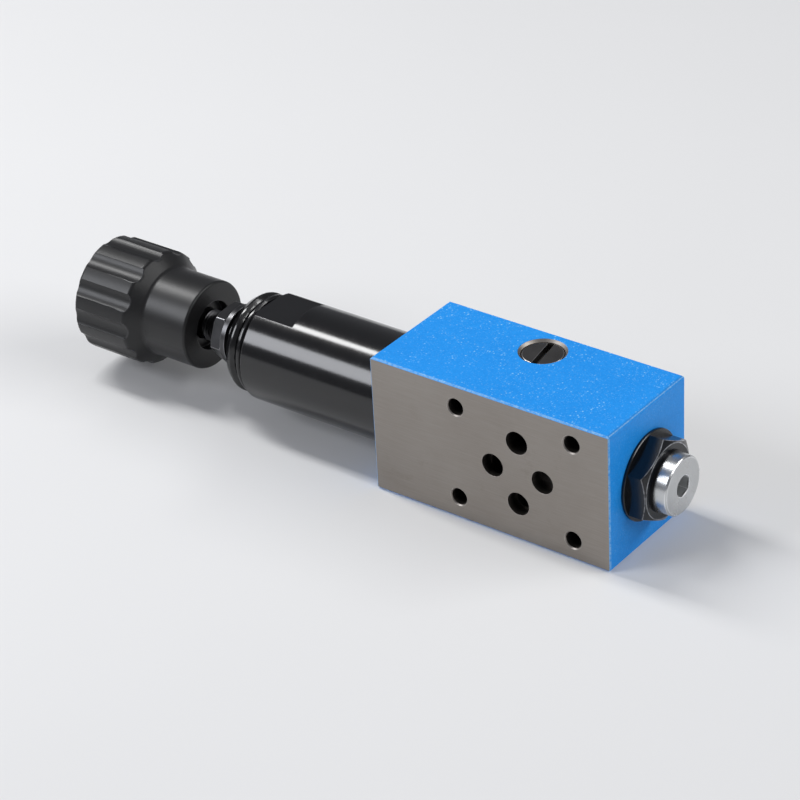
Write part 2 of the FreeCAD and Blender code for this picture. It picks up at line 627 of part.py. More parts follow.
# The adjusting pieces, from the spring outwards
def make_adjuster_piston():
    body = new_body("adjuster_piston")
    outside = "(sleeve_bore / 2 - run_gap)"
    floor = outside + " - piston_groove_depth"
    middle = "(piston_face - piston_length / 2)"
    socket = "(tip_d / 2 + run_gap)"
    turned(body, "piston_disc", [
        ("piston_face + guide_length", "0"),
        ("piston_face + guide_length", "guide_d / 2 - guide_taper"),
        ("piston_face", "guide_d / 2"), ("piston_face", outside),
        (middle + " + piston_groove / 2", outside), (middle + " + piston_groove / 2", floor),
        (middle + " - piston_groove / 2", floor), (middle + " - piston_groove / 2", outside),
        ("piston_back", outside), ("piston_back", socket),
        ("piston_back + piston_socket", socket), ("piston_back + piston_socket", "0")])
    return body


def ring(label, middle, inner, outer, width):
    """A seal drawn as it sits in its groove: a ring with eight-sided section."""
    body = new_body(label)
    low, high = "%s - (%s) / 2" % (middle, width), "%s + (%s) / 2" % (middle, width)
    made = turned(body, label + "_ring", [(low, inner), (low, outer), (high, outer),
                                          (high, inner)])
    size = "seal_corner * min(%s; (%s) - (%s))" % (width, outer, inner)
    dress(body, "Chamfer", label + "_corners", made, edges_where(made, lambda e: e.Closed),
          size)
    return body


def make_adjusting_spindle():
    body = new_body("adjusting_spindle")
    tip, thread = "tip_d / 2", "spindle_d / 2"
    end = "(knob_face - spindle_in_knob)"
    turned(body, "spindle_rod", [
        ("piston_back + piston_socket", "0"), ("piston_back + piston_socket", tip),
        ("piston_back", tip), ("piston_back", thread + " - edge_break"),
        ("piston_back - edge_break", thread), (end + " + thread_chamfer", thread),
        (end, thread + " - thread_chamfer"), (end, "0")])
    return body


def make_lock_washer():
    body = new_body("lock_washer")
    bore = "(spindle_d / 2 + 2 * run_gap)"
    turned(body, "washer_disc", [
        ("boss_end", bore), ("boss_end", "washer_d / 2"), ("nut_near", "washer_d / 2"),
        ("nut_near", bore)])
    return body


def make_lock_nut():
    body = new_body("lock_nut", turn="nut_turn")
    sketch = outline(body, "nut_hexagon", hexagon("nut_flats"), "YZ_Plane", "nut_far")
    feature(body, "Pad", "nut_blank", sketch, Length="nut_thickness")
    corner, face = "(nut_flats / sqrt(3))", "(nut_flats / sqrt(3) - nut_chamfer)"
    fall = "nut_chamfer * tan(nut_chamfer_angle)"
    for side, plane, inward in (("near", "nut_near", " - "), ("far", "nut_far", " + ")):
        turned_out(body, "nut_chamfer_" + side, [
            (plane, face), (plane, corner + " + overshoot"),
            (plane + inward + fall, corner + " + overshoot"), (plane + inward + fall, corner)])
    bore = circles(body, "nut_bore", [("0", "0")], "spindle_d + 2 * run_gap", "YZ_Plane",
                   "nut_near")
    pocket(body, "nut_thread", bore)
    return body


def make_knob():
    """A moulded knob: a skirt, a sloping shoulder and a grip with finger grooves."""
    body = new_body("knob")
    skirt, grip, bore = "skirt_d / 2", "grip_d / 2", "(spindle_d / 2 + run_gap)"
    foot = "(knob_face - skirt_length)"
    crest = "(knob_face - skirt_length - shoulder_length)"
    end = "(knob_face - knob_length)"
    form = turned(body, "knob_form", [
        ("knob_face", "recess_d / 2"), ("knob_face", skirt), (foot, skirt), (crest, grip),
        (end, grip), (end, "0"), ("knob_face - spindle_in_knob - thread_runout", "0"),
        ("knob_face - spindle_in_knob - thread_runout", bore),
        ("knob_face - recess_depth", bore),
        ("knob_face - recess_depth", "recess_d / 2")])
    for name, place, radius, size in (
            ("shoulder", foot, skirt, "shoulder_round"), ("top", crest, grip, "shoulder_round"),
            ("skirt", "knob_face", skirt, "skirt_round"), ("grip", end, grip, "grip_round")):
        where, wide = number(place), number(radius)
        form = dress(body, "Fillet", name + "_rounding", form, edges_where(
            form, lambda edge: round_edge(edge, wide)
            and abs(edge.Curve.Center.x - where) < CLOSE), size)
    groove = circles(body, "flute_circle", [("0", "grip_d / 2 - flute_depth + flute_d / 2")],
                     "flute_d", "YZ_Plane", end + " - overshoot")
    flute = pocket(body, "flute", groove, "knob_length", away=True)
    around = body.newObject("PartDesign::PolarPattern", "flutes")
    around.Originals = [flute]
    around.Axis = (origin_item(body, "X_Axis"), [""])
    around.Angle = 360
    around.setExpression("Occurrences", bind("flute_count"))
    body.Tip = around
    doc.recompute()
    grub = circles(body, "grub_circle", [("knob_face - grub_reach", "0")],
                   "grub_d + 2 * run_gap")
    pocket(body, "grub_hole", grub, "grip_d / 2")
    return body


def make_grub_screw():
    """The screw that holds the knob on the spindle, in the skirt's rear side."""
    place = ("knob_face - grub_reach", "-axis_depth + spindle_d / 2 + seat_gap", "0")
    body = new_body("knob_grub_screw", place=place)
    shank = circles(body, "grub_shank", [("0", "0")], "grub_d", "XZ_Plane")
    screw = feature(body, "Pad", "grub_rod", shank, Length="grub_length", Reversed=True)
    socket = outline(body, "grub_hexagon", hexagon("grub_hex"), "XZ_Plane", "-grub_length")
    pocket(body, "grub_socket_cut", socket, "grub_socket", away=True)
    return body


# The pieces at the gauge end
def make_end_plug():
    body = new_body("end_plug", turn="plug_turn")
    head = outline(body, "plug_hexagon", hexagon("plug_flats"), "YZ_Plane",
                   "block_right + plug_collar_width")
    feature(body, "Pad", "plug_head_blank", head, Length="plug_head")
    corner, face = "(plug_flats / sqrt(3))", "plug_face / 2"
    turned_out(body, "plug_head_chamfer", [
        ("plug_face_x", face), ("plug_face_x", corner + " + overshoot"),
        ("plug_face_x - plug_chamfer_drop", corner + " + overshoot"),
        ("plug_face_x - plug_chamfer_drop", corner)])
    shank = "(gauge_chamber / 2 - thread_gap)"
    neck = "(gauge_chamber / 2 + seal_mouth / 2 - ring_wire - 2 * seat_gap)"
    collar = "(block_right + plug_collar_width)"
    neck_end = "block_right - seal_mouth_depth - neck_relief"
    rim, broken = "plug_collar / 2", "plug_collar / 2 - plug_collar_chamfer"
    turned(body, "plug_shank_bar", [
        ("plug_end", "0"), ("plug_end", shank + " - edge_break"),
        ("plug_end + edge_break", shank), (neck_end, shank), (neck_end, neck),
        ("block_right", neck), ("block_right", broken),
        ("block_right + plug_collar_chamfer", rim), (collar + " - plug_collar_chamfer", rim),
        (collar, broken), (collar, "0")])
    port, port_floor = "(gauge_thread / 2 + thread_gap)", "(plug_face_x - gauge_port_depth)"
    turned_out(body, "gauge_port", [
        ("plug_end - overshoot", "0"), ("plug_end - overshoot", "gallery / 2"),
        (port_floor, "gallery / 2"), (port_floor, port),
        ("plug_face_x - gauge_port_chamfer", port),
        ("plug_face_x + overshoot", port + " + gauge_port_chamfer + overshoot"),
        ("plug_face_x + overshoot", "0")])
    return body


def make_gauge_port_plug():
    body = new_body("gauge_port_plug", turn="gauge_turn")
    thread, collar = "gauge_thread / 2", "gauge_collar / 2"
    near, far = "gauge_collar_x", "(gauge_collar_x + gauge_collar_width)"
    turned(body, "gauge_plug_bar", [
        (near + " - gauge_plug_thread", "0"),
        (near + " - gauge_plug_thread", thread + " - thread_chamfer"),
        (near + " - gauge_plug_thread + thread_chamfer", thread), (near, thread),
        (near, collar), (far + " - gauge_chamfer", collar), (far, collar + " - gauge_chamfer"),
        (far, "0")])
    socket = outline(body, "gauge_hexagon", hexagon("gauge_hex"), "YZ_Plane", far)
    pocket(body, "gauge_socket_cut", socket, "gauge_socket")
    turned_out(body, "gauge_socket_mouth", [
        (far + " - gauge_socket_chamfer", "0"),
        (far + " - gauge_socket_chamfer", "gauge_hex / 2"),
        (far + " + overshoot", "gauge_hex / 2 + gauge_socket_chamfer + overshoot"),
        (far + " + overshoot", "0")])
    return body


def make_gauge_plug_seal():
    body = new_body("gauge_plug_seal")
    bore, rim = "gauge_seal_bore / 2", "gauge_seal_d / 2"
    turned(body, "gauge_seal_ring", [
        ("plug_face_x", bore), ("plug_face_x", rim), ("gauge_collar_x", rim),
        ("gauge_collar_x", bore)])
    return body


# The slotted plug that closes the cross drilling, and its sealing ring
def make_slotted_plug():
    floor = "(block_height / 2 - slot_plug_hole + slot_seal_width)"
    body = new_body("slotted_plug", place=("slot_plug_reach", "-slot_plug_depth", floor))
    height = "(slot_plug_hole - slot_seal_width - slot_plug_sunk)"
    disc = circles(body, "slot_plug_disc", [("0", "0")], "slot_plug_d", "XY_Plane")
    bar = feature(body, "Pad", "slot_plug_bar", disc, Length=height)
    rims = edges_where(bar, lambda edge: round_edge(edge, number("slot_plug_d / 2")))
    dress(body, "Chamfer", "slot_plug_rims", bar, rims, "slot_plug_chamfer")
    reach, half = "(slot_plug_d)", "slot_width / 2"
    slot = outline(body, "slot_outline", [
        ("-" + half, "-" + reach), (half, "-" + reach), (half, reach), ("-" + half, reach)],
        "XY_Plane", height)
    slot.setExpression("AttachmentOffset.Rotation.Angle", bind("slot_turn"))
    pocket(body, "slot", slot, "slot_depth")
    return body


def make_slotted_plug_seal():
    floor = "(block_height / 2 - slot_plug_hole)"
    body = new_body("slotted_plug_seal", place=("slot_plug_reach", "-slot_plug_depth", floor))
    disc = circles(body, "slot_seal_disc", [("0", "0")], "slot_plug_d - 2 * thread_gap",
                   "XY_Plane")
    feature(body, "Pad", "slot_seal_bar", disc, Length="slot_seal_width")
    bore = circles(body, "slot_seal_bore", [("0", "0")], "slot_seal_bore", "XY_Plane",
                   "slot_seal_width")
    pocket(body, "slot_seal_hole", bore)
    return body


def make_port_seal(port):
    """A port's ring, pressed to the depth of its seat as it is when the valve is bolted on."""
    across, up = PORTS[port]
    body = new_body("port_seal_" + port, place=(across, "0", up))
    inner, outer = "port_seal_bore / 2", "(seal_seat / 2 - seat_gap)"
    sketch = outline(body, "seal_section_" + port, [
        (inner, "-seal_seat_depth"), (outer, "-seal_seat_depth"), (outer, "-seat_gap"),
        (inner, "-seat_gap")], "XY_Plane")
    ring_bar = feature(body, "Revolution", "seal_ring_" + port, sketch,
                       ReferenceAxis=(sketch, ["V_Axis"]), Angle="360")
    dress(body, "Chamfer", "seal_corners_" + port, ring_bar,
          edges_where(ring_bar, lambda edge: edge.Closed), "seal_corner * seal_seat_depth")
    return body


mouth_seal = ("gauge_chamber / 2 + seal_mouth / 2 - ring_wire - seat_gap",
              "gauge_chamber / 2 + seal_mouth / 2 - seat_gap")
sleeve_seal = ("spring_chamber / 2 + seal_mouth / 2 - ring_wire - seat_gap",
               "spring_chamber / 2 + seal_mouth / 2 - seat_gap")
piston_seal = ("sleeve_bore / 2 - run_gap - piston_groove_depth + seat_gap",
               "sleeve_bore / 2 - seat_gap")

NODES = [
    make_valve_body(), make_control_spool(), make_spring_plate(), make_main_spring(),
    make_spring_sleeve(), make_sleeve_cap(), make_adjuster_piston(),
    ring("adjuster_seal", "(piston_face - piston_length / 2)", *piston_seal,
         "piston_groove - 2 * seat_gap"),
    ring("sleeve_seal", "(-block_left + seal_mouth_depth / 2)", *sleeve_seal,
         "seal_mouth_depth - 2 * seat_gap"),
    make_adjusting_spindle(), make_lock_washer(), make_lock_nut(), make_knob(),
    make_grub_screw(), make_end_plug(),
    ring("end_plug_seal", "(block_right - seal_mouth_depth / 2)", *mouth_seal,
         "seal_mouth_depth - 2 * seat_gap"),
    make_gauge_port_plug(), make_gauge_plug_seal(), make_slotted_plug(),
    make_slotted_plug_seal(),
]
NODES += [make_port_seal(port) for port in PORTS]
doc.recompute()

# Check every object before anything is written
for item in doc.Objects:
    assert "Invalid" not in item.State and "Error" not in item.State, item.Name
for node in NODES:
    assert not node.Shape.isNull() and node.Shape.isValid(), node.Label
    assert len(node.Shape.Solids) == 1, node.Label + " is not one solid"

os.makedirs("parts", exist_ok=True)
for node in NODES:
    node.Shape.exportStep("parts/%s.step" % node.Label)
    box = node.Shape.BoundBox
    print("%-18s volume %8.0f  x %7.2f to %7.2f" % (node.Label, node.Shape.Volume,
                                                    box.XMin, box.XMax))
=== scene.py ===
# %% [markdown]
# # A sandwich-plate reducing valve, dressed for its portrait
#
# The construction comes from outside this notebook as a fixed frame: one mesh for each
# piece, in metres, at its real place. Here the pieces get their finishes, and those whose
# looks need more than plain solids get a mesh of their own.

import json
import math

import bmesh
import bpy
from mathutils import Matrix, Vector


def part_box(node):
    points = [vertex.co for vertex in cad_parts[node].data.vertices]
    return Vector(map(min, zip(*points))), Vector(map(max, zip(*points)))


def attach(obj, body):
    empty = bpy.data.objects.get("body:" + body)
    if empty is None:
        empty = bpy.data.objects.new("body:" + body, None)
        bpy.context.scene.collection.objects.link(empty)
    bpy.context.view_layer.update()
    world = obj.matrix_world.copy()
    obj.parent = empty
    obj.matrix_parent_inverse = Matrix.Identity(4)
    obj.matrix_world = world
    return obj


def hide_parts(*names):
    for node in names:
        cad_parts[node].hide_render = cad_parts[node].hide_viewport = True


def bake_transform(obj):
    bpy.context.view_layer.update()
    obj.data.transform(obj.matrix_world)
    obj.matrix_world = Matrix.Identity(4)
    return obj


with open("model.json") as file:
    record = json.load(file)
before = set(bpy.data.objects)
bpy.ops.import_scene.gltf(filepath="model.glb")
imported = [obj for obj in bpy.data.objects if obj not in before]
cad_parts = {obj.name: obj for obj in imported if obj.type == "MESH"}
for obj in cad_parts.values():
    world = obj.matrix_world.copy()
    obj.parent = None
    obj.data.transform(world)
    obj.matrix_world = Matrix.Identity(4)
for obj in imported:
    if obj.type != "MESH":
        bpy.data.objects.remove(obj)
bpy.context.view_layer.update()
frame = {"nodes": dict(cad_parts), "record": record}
MM = 0.001

# %% [markdown]
# ## The camera
#
# The photograph was taken from above the ported face, with a long lens. A camera can be
# placed by eye, but the corners of a machined block say more: the place and the tilt
# below are those from which the block's corners fall where the photograph has them. The
# long lens matters as much as the place, because it sets how much the far end shrinks.
# A camera looks along its own -Z, so its turn is given by its right and its back.

# %% Place the camera
CAMERA_PLACE = (0.419030, -0.618587, 0.457866)
CAMERA_RIGHT = Vector((0.80016852, 0.59779489, -0.04869914)).normalized()
CAMERA_BACK = Vector((0.53224, -0.67028, 0.51711)).normalized()
LENS, SENSOR_WIDTH = 131.993, 36.0
NEAREST, FARTHEST = 0.01, 20.0


def stand(made, place, right, back):
    """Put a camera or a lamp at its place, turned so that it looks away from its back."""
    axes = Matrix((right, back.cross(right), back)).transposed()
    made.matrix_world = Matrix.Translation(place) @ axes.to_4x4()
    bpy.context.scene.collection.objects.link(made)


camera_data = bpy.data.cameras.new("portrait_camera")
camera_data.lens, camera_data.sensor_width = LENS, SENSOR_WIDTH
camera_data.clip_start, camera_data.clip_end = NEAREST, FARTHEST
camera = bpy.data.objects.new("portrait_camera", camera_data)
stand(camera, CAMERA_PLACE, CAMERA_RIGHT, CAMERA_BACK)
bpy.context.scene.camera = camera
print("camera at", CAMERA_PLACE, "lens", LENS)

# %% [markdown]
# ## The light
#
# Glossy black metal has no colour of its own: what one sees on it is the room. So the
# lamps are placed from the highlights. A cylinder shows a lamp where its surface leans
# halfway between the eye and the lamp. That puts one narrow lamp above the valve, a broad
# softer one on the camera's side, and a third beyond the plug's end, which draws the
# white strokes on the narrow slopes of the cap. The long side of that third one climbs
# away from the camera. The room itself is dim and even, because a bright room would turn
# every black piece grey.

# %% Lamps and room
scene = bpy.context.scene
scene.view_settings.view_transform = "Standard"

ROOM_LIGHT = (0.200, 0.205, 0.220)
room = bpy.data.worlds.new("room")
room.use_nodes = True
room.node_tree.nodes["Background"].inputs["Color"].default_value = (*ROOM_LIGHT, 1.0)
room.node_tree.nodes["Background"].inputs["Strength"].default_value = 1.0
scene.world = room

SLEEVE_MIDDLE = Vector((-0.079, -0.020, 0.0))
WHITE, COOL_WHITE = (1.0, 1.0, 1.0), (0.93, 0.95, 1.0)
LEVEL, CLIMBING = Vector((1.0, 0.0, 0.0)), Vector((0.0, 1.475, 0.495))


def lamp(name, place, size, watts, colour=WHITE, along=LEVEL):
    """A rectangular lamp aimed at the sleeve, its long side as near to along as can be."""
    data = bpy.data.lights.new(name, "AREA")
    data.shape = "RECTANGLE"
    data.size, data.size_y = size
    data.energy = watts
    data.color = colour
    back = (Vector(place) - SLEEVE_MIDDLE).normalized()
    across = (along - back * along.dot(back)).normalized()
    stand(bpy.data.objects.new(name, data), place, across, back)


lamp("strip_above", (-0.74, -0.010, 1.00), (0.80, 0.18), 8.3)
lamp("soft_front", (-0.90, -1.00, 0.79), (0.65, 0.58), 9.3, colour=COOL_WHITE)
lamp("side_strip", (1.00, 0.38, 0.86), (1.30, 0.22), 9.2, along=CLIMBING)

# %% [markdown]
# ## The floor
#
# A plain pale floor, wide enough to fill the view. It touches the underside of the block,
# which is the lowest point of the valve.

# %% Floor
FLOOR_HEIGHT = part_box("valve_body")[0].z
FLOOR_HALF = 3.0


def new_object(name, maker):
    """Wrap a bmesh in an object that sits at the origin."""
    mesh = bpy.data.meshes.new(name)
    maker.to_mesh(mesh)
    maker.free()
    made = bpy.data.objects.new(name, mesh)
    scene.collection.objects.link(made)
    return made


maker = bmesh.new()
bmesh.ops.create_grid(maker, x_segments=1, y_segments=1, size=FLOOR_HALF,
                      matrix=Matrix.Translation((0, 0, FLOOR_HEIGHT)))
floor = new_object("floor", maker)
print("floor at", round(FLOOR_HEIGHT, 4))

# %% [markdown]
# ## Shader maths as plain sums
#
# A finish is a small sum: paint here, bare metal there, a little more wear near an edge.
# Written node by node it would be unreadable, so a `Wire` stands for one socket, and
# adding or multiplying wires adds the Math nodes.


# %% Wires
class Wire:
    """One output socket of a material."""

    def __init__(self, finish, socket):
        self.finish = finish
        self.socket = socket

    def maths(self, operation, *others, flip=False, clamp=False):
        terms = [self, *others]
        if flip:
            terms.reverse()
        settings = {"operation": operation, "use_clamp": clamp}
        return self.finish.node("ShaderNodeMath", settings, dict(enumerate(terms)))

    def __add__(self, other):
        return self.maths("ADD", other)

    __radd__ = __add__

    def __sub__(self, other):
        return self.maths("SUBTRACT", other)

    def __rsub__(self, other):
        return self.maths("SUBTRACT", other, flip=True)

    def __mul__(self, other):
        return self.maths("MULTIPLY", other)

    __rmul__ = __mul__

    def __gt__(self, other):
        return self.maths("GREATER_THAN", other)

    def __lt__(self, other):
        return self.maths("LESS_THAN", other)

    def ramp(self, low, high):
        """0 at low, 1 at high, and a straight line between."""
        return self.finish.node("ShaderNodeMapRange", {"clamp": True},
                                {"Value": self, "From Min": low, "From Max": high})


print("a wire can be added, subtracted, multiplied, compared and ramped")

# %% [markdown]
# ## One finish, one material
#
# A `Finish` is one material. What is the same all over is set on the shader when it is
# made, and what varies is wired to it by `set`. One method makes any node, and the short
# methods after it name the few that the valve needs: a noise, a blend of two colours, a
# bump, the mark of a rounded edge, and the distance from an axis. Every pattern reads the
# place on the object, so it stays put when a piece moves. A Mix node has sockets of the
# same name for numbers, vectors and colours, so its sockets are reached by their number.

# %% Finishes
EDGE = "rounded_edge"
MIX_FACTOR, MIX_FIRST, MIX_SECOND, MIX_RESULT = 0, 6, 7, 2


class Finish:
    """One material, which starts as a plain shader with some fixed sockets."""

    def __init__(self, name, **fixed):
        self.material = bpy.data.materials.new(name)
        self.material.use_nodes = True
        self.tree = self.material.node_tree
        self.shader = self.tree.nodes["Principled BSDF"]
        for socket, value in fixed.items():
            self.shader.inputs[socket.replace("_", " ")].default_value = value
        self.place = self.node("ShaderNodeTexCoord", output="Object")

    def node(self, kind, settings=None, inputs=None, output=0):
        made = self.tree.nodes.new(kind)
        for name, value in (settings or {}).items():
            setattr(made, name, value)
        for name, value in (inputs or {}).items():
            self.join(value, made.inputs[name])
        return Wire(self, made.outputs[output])

    def join(self, value, socket):
        if isinstance(value, Wire):
            self.tree.links.new(value.socket, socket)
        elif isinstance(value, tuple) and len(value) == 3 and socket.type == "RGBA":
            socket.default_value = (*value, 1.0)
        else:
            socket.default_value = value

    def set(self, **wires):
        for socket, value in wires.items():
            self.join(value, self.shader.inputs[socket.replace("_", " ")])
        return self

    def axes(self, vector=None):
        """The three numbers of a place or a colour."""
        split = self.node("ShaderNodeSeparateXYZ", None, {0: vector or self.place})
        return [Wire(self, split.socket.node.outputs[axis]) for axis in "XYZ"]

    def vector(self, x, y, z):
        return self.node("ShaderNodeCombineXYZ", None, {"X": x, "Y": y, "Z": z})

    def stretched(self, *scale):
        return self.node("ShaderNodeMapping", None, {"Vector": self.place, "Scale": scale})

    def noise(self, scale, detail=2.0, roughness=0.5, where=None):
        return self.node("ShaderNodeTexNoise", None,
                         {"Vector": where or self.place, "Scale": scale,
                          "Detail": detail, "Roughness": roughness}, "Fac")

    def blend(self, factor, first, second):
        """Mix two colours."""
        inputs = {MIX_FACTOR: factor, MIX_FIRST: first, MIX_SECOND: second}
        settings = {"data_type": "RGBA", "clamp_factor": True}
        return self.node("ShaderNodeMix", settings, inputs, MIX_RESULT)

    def bump(self, height, depth, strength=1.0, over=None):
        inputs = {"Height": height, "Distance": depth, "Strength": strength}
        if over:
            inputs["Normal"] = over
        return self.node("ShaderNodeBump", None, inputs, "Normal")

    def edge(self):
        """1 on a rounded edge and 0 elsewhere, as the pieces carry it in their faces."""
        return self.node("ShaderNodeAttribute", {"attribute_name": EDGE}, None, "Fac")

    def from_axis(self, axis, centre):
        """How far a point lies from an axis that runs along X or along Z."""
        x, y, z = self.axes()
        pair = (y, z) if axis == "X" else (x, y)
        flat = self.vector(pair[0] - centre[0], pair[1] - centre[1], 0.0)
        return self.node("ShaderNodeVectorMath", {"operation": "LENGTH"}, {0: flat}, "Value")


FINISHES = {}
# The worn edges that a finish can hold are painted lighter, as wear and as a painted highlight.
print("a finish can hold noise, blends, bumps, worn edges and rings")

# %% [markdown]
# ## The floor's finish
#
# The floor is matt and hardly varies: just enough drift in its tone that it doesn't look
# like a flat colour.

# %% Pale floor
pale = Finish("pale_floor", Roughness=0.85)
pale.set(Base_Color=pale.blend(pale.noise(6.0, 3.0), (0.74, 0.74, 0.74), (0.77, 0.77, 0.77)))
floor.data.materials.append(pale.material)
print("floor material:", floor.data.materials[0].name)

# %% [markdown]
# ## Rounded edges
#
# The frame's edges are perfectly sharp, and nothing real is: every edge that a tool or a
# mould leaves has a small radius, and that is where metal catches the light. A Bevel
# modifier could add it, but then a finish couldn't tell an edge from a face. So a copy of
# the piece's mesh is merged, its flat triangles are joined, and its sharp edges are
# bevelled in a bmesh. The new faces are marked, so that a finish can paint them lighter,
# partly as wear and partly as a painted highlight.

# %% A copy with rounded edges
BODY_OF = {node: body for body, nodes in frame["record"]["behaviour"]["bodies"].items()
           for node in nodes}
WELD = 0.002 * MM
FLAT = math.radians(0.5)
SHARP = math.radians(25.0)
CREASE = math.radians(38.0)


def finish_mesh(maker, crease=CREASE):
    """Turn the faces outwards, shade them smooth and keep the creases."""
    bmesh.ops.recalc_face_normals(maker, faces=maker.faces)
    for face in maker.faces:
        face.smooth = True
    for edge in maker.edges:
        edge.smooth = len(edge.link_faces) == 2 and edge.calc_face_angle(0.0) < crease


def stand_in(piece, node, rides=True):
    """Put a finished piece in the place of a node of the frame."""
    even = piece.modifiers.new("even_shading", "WEIGHTED_NORMAL")
    even.keep_sharp = True
    piece.data.materials.append(FINISHES[node].material)
    if rides:
        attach(piece, BODY_OF[node])
    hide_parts(node)


def rounded(node, radius, where=None, clamp=False):
    """Replace a node by a copy whose sharp edges have a radius, given in millimetres."""
    maker = bmesh.new()
    maker.from_mesh(frame["nodes"][node].data)
    bmesh.ops.remove_doubles(maker, verts=maker.verts, dist=WELD)
    bmesh.ops.dissolve_limit(maker, angle_limit=FLAT, verts=maker.verts, edges=maker.edges)
    sharp = [edge for edge in maker.edges
             if edge.calc_face_angle(0.0) > SHARP and (where is None or where(edge))]
    mark = maker.faces.layers.float.new(EDGE)
    made = bmesh.ops.bevel(maker, geom=sharp, offset=radius * MM, offset_type="OFFSET",
                           affect="EDGES", segments=3, profile=0.5, material=-1,
                           clamp_overlap=clamp, loop_slide=True)
    for face in made["faces"]:
        face[mark] = 1.0
    finish_mesh(maker)
    print(node, "edges rounded:", len(sharp), "faces:", len(maker.faces))
    stand_in(new_object("rounded_" + node, maker), node)


print("nodes on moving bodies:", sorted(node for node in BODY_OF if BODY_OF[node] != "valve"))

# %% [markdown]
# ## Where the block is painted
#
# The block is painted all round, then both port faces are ground flat, so the paint ends
# in a crisp line at those faces, and the holes are bare inside. Two materials and a cut
# mesh could show that, but one material can hold both finishes: masks made from the place
# on the block choose between them.

# %% Masks on the block
BLOCK_LOW, BLOCK_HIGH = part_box("valve_body")
PLUG_CENTRE = (-9.55 * MM, -10.2 * MM)
PLUG_MOUTH = 7.45 * MM
PAINT_SHELL = 1.0 * MM
GROUND_SKIM = 0.01 * MM
# How far from the block's edges the frost and the painted highlight reach.
FROST_AND_HIGHLIGHT_RIM = 0.55 * MM


def paint_mask(finish):
    """1 where the block is painted: near its ends, top and bottom, not on the port faces."""
    x, y, z = finish.axes()
    near_end = (x > (BLOCK_HIGH.x - PAINT_SHELL)) + (x < (BLOCK_LOW.x + PAINT_SHELL))
    near_top = (z > (BLOCK_HIGH.z - PAINT_SHELL)) + (z < (BLOCK_LOW.z + PAINT_SHELL))
    skin = near_end.maths("ADD", near_top, clamp=True)
    ground = (y > -GROUND_SKIM) + (y < (BLOCK_LOW.y + GROUND_SKIM))
    return skin * (1.0 - ground) * (finish.from_axis("Z", PLUG_CENTRE) > PLUG_MOUTH)


def block_edge(finish):
    """1 where two outer faces of the block are both near, which is along its edges."""
    near = [(axis > (high - FROST_AND_HIGHLIGHT_RIM)) + (axis < (low + FROST_AND_HIGHLIGHT_RIM))
            for axis, low, high in zip(finish.axes(), BLOCK_LOW, BLOCK_HIGH)]
    return (near[0] + near[1] + near[2]) > 1.5


print("block from", [round(v / MM, 1) for v in BLOCK_LOW], "to",
      [round(v / MM, 1) for v in BLOCK_HIGH], "mm")

# %% [markdown]
# ## Blue enamel
#
# The enamel has the skin of an orange, bumps a third of a millimetre apart, and a metal
# dust in it that sparkles; the sparkle is painted into the colour as light specks. A Voronoi
# texture gives the dust: each of its cells has a chance of its own, and the lucky ones get a
# speck at their middle. The specks are painted stronger on the top, where the light falls.
# The edges are painted lighter: the paint is thinner there, which looks frosted, and a
# painted highlight lies along them.

# %% Enamel
ENAMEL_DEEP, ENAMEL_CLEAR = (0.010, 0.245, 0.74), (0.020, 0.320, 0.88)
# The light dust colour stands for painted glints of the metal dust; the frost colour is thin
# paint on the edges plus a painted highlight.
DUST_GLINT, FROST_AND_HIGHLIGHT = (0.33, 0.68, 0.95), (0.34, 0.62, 0.90)
DUST_GLINT_GRAINS = ((2300.0, 0.60, 0.40), (1250.0, 0.84, 0.80))
TOP_SKIN = 0.5 * MM


def enamel_colour(finish):
    drift = finish.noise(55.0, 3.0) * 0.5 + finish.noise(1500.0, 2.0).ramp(0.3, 0.7) * 0.5
    colour = finish.blend(drift, ENAMEL_DEEP, ENAMEL_CLEAR)
    # Painted glints: the dust specks are painted stronger on the top, where the light falls.
    lit_top = 0.4 + 0.6 * (finish.axes()[2] > (BLOCK_HIGH.z - TOP_SKIN))
    patches = finish.noise(160.0, 2.0).ramp(0.40, 0.64)
    for cells_a_metre, unlucky, strength in DUST_GLINT_GRAINS:
        cells = {"Vector": finish.place, "Scale": cells_a_metre}
        chance = finish.axes(finish.node("ShaderNodeTexVoronoi", None, cells, "Color"))[0]
        middle = finish.node("ShaderNodeTexVoronoi", None, cells, "Distance").ramp(0.42, 0.20)
        speck_glint = (chance > unlucky) * middle * (0.3 + 0.7 * patches)
        colour = finish.blend(speck_glint * lit_top * strength, colour, DUST_GLINT)
    # The edges are painted lighter: frost where the paint is thin, and a painted highlight.
    frost_and_highlight = finish.noise(1100.0, 3.0, 0.7).ramp(0.38, 0.62)
    return finish.blend(block_edge(finish) * (0.12 + frost_and_highlight * 0.55), colour, FROST_AND_HIGHLIGHT)


def enamel_skin(finish):
    fine = finish.bump(finish.noise(2300.0, 2.0, 0.55), 0.020 * MM)
    return finish.bump(finish.noise(420.0, 1.0), 0.03 * MM, 0.5, fine)


print("enamel from", ENAMEL_DEEP, "to", ENAMEL_CLEAR)

# %% [markdown]
# ## Ground cast iron
#
# The wheel leaves fine lines along the block, which a noise gives when it is squeezed
# hard in one direction. Iron also holds a few stains, and inside the holes it is darkened
# with painted shade. Its rounded rims are painted lighter, as wear and as a painted
# highlight. How deep a point lies behind the port faces and the top tells a hole from a face.

# %% Iron
IRON_DARK, IRON_LIGHT = (0.250, 0.222, 0.198), (0.350, 0.325, 0.298)
LINE, STAIN = (0.46, 0.435, 0.405), (0.17, 0.145, 0.125)
HOLE_SHADE, RUBBED_AND_HIGHLIGHT = (0.035, 0.032, 0.030), (0.62, 0.59, 0.55)


